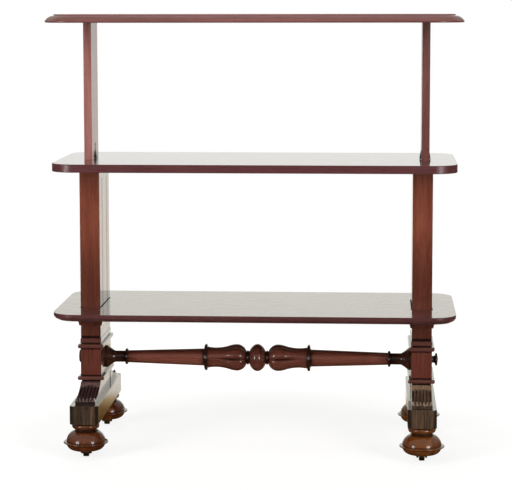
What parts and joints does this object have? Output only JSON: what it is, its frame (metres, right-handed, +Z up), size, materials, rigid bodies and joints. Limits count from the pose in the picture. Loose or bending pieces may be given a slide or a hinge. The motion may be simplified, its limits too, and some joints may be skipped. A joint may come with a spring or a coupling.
{
  "type": "tiered dumb waiter",
  "caption": "Free-standing mahogany dumb waiter whose top tier slides down and lower tier slides up to close into one table top, on trestle ends with turned feet and castors.",
  "frame": {"origin": "centre of the footprint, on the floor", "axes": "+Z up, +X to the right seen from the front, the front faces -Y"},
  "size_m": [1.067, 0.5064, 1.1395],
  "materials": {
    "tier_mahogany": "French polish",
    "frame_mahogany": "French polish",
    "turned_mahogany": "French polish",
    "carved_mahogany": "dark polish in the hollows",
    "beech": "bare",
    "blued_steel": "blued",
    "patinated_brass": "dark patina",
    "wrought_iron": "black",
    "cotton_cord": "laid cord"
  },
  "bodies": {
    "trestle": {"astragals": "frame_mahogany", "carrier_cords": "cotton_cord", "castor_plates": "patinated_brass", "castor_screws": "blued_steel", "cord_wraps": "cotton_cord", "left_back_bun_foot": "turned_mahogany", "left_boss": "turned_mahogany", "left_front_bun_foot": "turned_mahogany", "left_leaves": "carved_mahogany", "left_pedestal": "frame_mahogany", "left_sled": "frame_mahogany", "left_standard_back_stile": "frame_mahogany", "left_standard_front_stile": "frame_mahogany", "left_standard_inner_side": "frame_mahogany", "left_standard_outer_side": "frame_mahogany", "lower_bands": "frame_mahogany", "middle_tier": "tier_mahogany", "post_cords": "cotton_cord", "pulley_studs": "patinated_brass", "right_back_bun_foot": "turned_mahogany", "right_boss": "turned_mahogany", "right_front_bun_foot": "turned_mahogany", "right_leaves": "carved_mahogany", "right_pedestal": "frame_mahogany", "right_sled": "frame_mahogany", "right_standard_back_stile": "frame_mahogany", "right_standard_front_stile": "frame_mahogany", "right_standard_inner_side": "frame_mahogany", "right_standard_outer_side": "frame_mahogany", "stretcher": "turned_mahogany", "stretcher_bolts": "wrought_iron", "tier_dowels": "beech", "upper_bands": "frame_mahogany"},
    "upper_stage": {"top_tier": "tier_mahogany", "left_post": "frame_mahogany", "right_post": "frame_mahogany", "post_shoes": "wrought_iron", "catch_pins": "blued_steel"},
    "lower_stage": {"lower_tier": "tier_mahogany", "left_collar": "frame_mahogany", "right_collar": "frame_mahogany", "collar_screws": "blued_steel", "tier_carriers": "wrought_iron"},
    "pulley_left_front": {"left_front_pulley": "patinated_brass"},
    "pulley_left_back": {"left_back_pulley": "patinated_brass"},
    "catch_left_inner": {"left_inner_catch": "blued_steel"},
    "catch_left_outer": {"left_outer_catch": "blued_steel"},
    "castor_left_front": {"left_front_castor_fork": "patinated_brass"},
    "wheel_left_front": {"left_front_castor_wheel": "patinated_brass"},
    "castor_left_back": {"left_back_castor_fork": "patinated_brass"},
    "wheel_left_back": {"left_back_castor_wheel": "patinated_brass"},
    "pulley_right_front": {"right_front_pulley": "patinated_brass"},
    "pulley_right_back": {"right_back_pulley": "patinated_brass"},
    "catch_right_inner": {"right_inner_catch": "blued_steel"},
    "catch_right_outer": {"right_outer_catch": "blued_steel"},
    "castor_right_front": {"right_front_castor_fork": "patinated_brass"},
    "wheel_right_front": {"right_front_castor_wheel": "patinated_brass"},
    "castor_right_back": {"right_back_castor_fork": "patinated_brass"},
    "wheel_right_back": {"right_back_castor_wheel": "patinated_brass"}
  },
  "joints": [
    {"name": "upper_slide", "type": "slide", "parent": "trestle", "child": "upper_stage", "axis": [0, 0, 1], "range_m": [-0.3575, 0], "deforming": ["post_cords"]},
    {"name": "lower_slide", "type": "slide", "parent": "trestle", "child": "lower_stage", "axis": [0, 0, 1], "range_m": [0, 0.3575], "deforming": ["carrier_cords"]},
    {"name": "left_front_pulley_turn", "type": "hinge", "parent": "trestle", "child": "pulley_left_front", "pos_m": [-0.42325, -0.0315, 0.7225], "axis": [1, 0, 0], "range_deg": [-2410, 0]},
    {"name": "left_back_pulley_turn", "type": "hinge", "parent": "trestle", "child": "pulley_left_back", "pos_m": [-0.42325, 0.0315, 0.7225], "axis": [1, 0, 0], "range_deg": [0, 2410]},
    {"name": "left_inner_catch_press", "type": "hinge", "parent": "upper_stage", "child": "catch_left_inner", "pos_m": [-0.433, 0, 0.7962], "axis": [0, 1, 0], "range_deg": [0, 8.5], "stiffness_Nm_per_rad": 0.3, "springref_deg": -5.73},
    {"name": "left_outer_catch_press", "type": "hinge", "parent": "upper_stage", "child": "catch_left_outer", "pos_m": [-0.4466, 0, 0.7962], "axis": [0, 1, 0], "range_deg": [-8.5, 0], "stiffness_Nm_per_rad": 0.3, "springref_deg": 5.73},
    {"name": "left_front_castor_swivel", "type": "hinge", "parent": "trestle", "child": "castor_left_front", "pos_m": [-0.433, -0.1955, 0.04], "axis": [0, 0, 1], "continuous": true},
    {"name": "left_front_castor_roll", "type": "hinge", "parent": "castor_left_front", "child": "wheel_left_front", "pos_m": [-0.433, -0.1895, 0.013], "axis": [1, 0, 0], "continuous": true},
    {"name": "left_back_castor_swivel", "type": "hinge", "parent": "trestle", "child": "castor_left_back", "pos_m": [-0.433, 0.1955, 0.04], "axis": [0, 0, 1], "continuous": true},
    {"name": "left_back_castor_roll", "type": "hinge", "parent": "castor_left_back", "child": "wheel_left_back", "pos_m": [-0.433, 0.2015, 0.013], "axis": [1, 0, 0], "continuous": true},
    {"name": "right_front_pulley_turn", "type": "hinge", "parent": "trestle", "child": "pulley_right_front", "pos_m": [0.42325, -0.0315, 0.7225], "axis": [1, 0, 0], "range_deg": [-2410, 0]},
    {"name": "right_back_pulley_turn", "type": "hinge", "parent": "trestle", "child": "pulley_right_back", "pos_m": [0.42325, 0.0315, 0.7225], "axis": [1, 0, 0], "range_deg": [0, 2410]},
    {"name": "right_inner_catch_press", "type": "hinge", "parent": "upper_stage", "child": "catch_right_inner", "pos_m": [0.433, 0, 0.7962], "axis": [0, 1, 0], "range_deg": [-8.5, 0], "stiffness_Nm_per_rad": 0.3, "springref_deg": 5.73},
    {"name": "right_outer_catch_press", "type": "hinge", "parent": "upper_stage", "child": "catch_right_outer", "pos_m": [0.4466, 0, 0.7962], "axis": [0, 1, 0], "range_deg": [0, 8.5], "stiffness_Nm_per_rad": 0.3, "springref_deg": -5.73},
    {"name": "right_front_castor_swivel", "type": "hinge", "parent": "trestle", "child": "castor_right_front", "pos_m": [0.433, -0.1955, 0.04], "axis": [0, 0, 1], "continuous": true},
    {"name": "right_front_castor_roll", "type": "hinge", "parent": "castor_right_front", "child": "wheel_right_front", "pos_m": [0.433, -0.1895, 0.013], "axis": [1, 0, 0], "continuous": true},
    {"name": "right_back_castor_swivel", "type": "hinge", "parent": "trestle", "child": "castor_right_back", "pos_m": [0.433, 0.1955, 0.04], "axis": [0, 0, 1], "continuous": true},
    {"name": "right_back_castor_roll", "type": "hinge", "parent": "castor_right_back", "child": "wheel_right_back", "pos_m": [0.433, 0.2015, 0.013], "axis": [1, 0, 0], "continuous": true}
  ],
  "couplings": [
    {"joint": "lower_slide", "follows": "upper_slide", "ratio": -1},
    {"joint": "left_front_pulley_turn", "follows": "upper_slide", "rad_per_m": 117.65},
    {"joint": "left_back_pulley_turn", "follows": "upper_slide", "rad_per_m": -117.65},
    {"joint": "right_front_pulley_turn", "follows": "upper_slide", "rad_per_m": 117.65},
    {"joint": "right_back_pulley_turn", "follows": "upper_slide", "rad_per_m": -117.65}
  ]
}
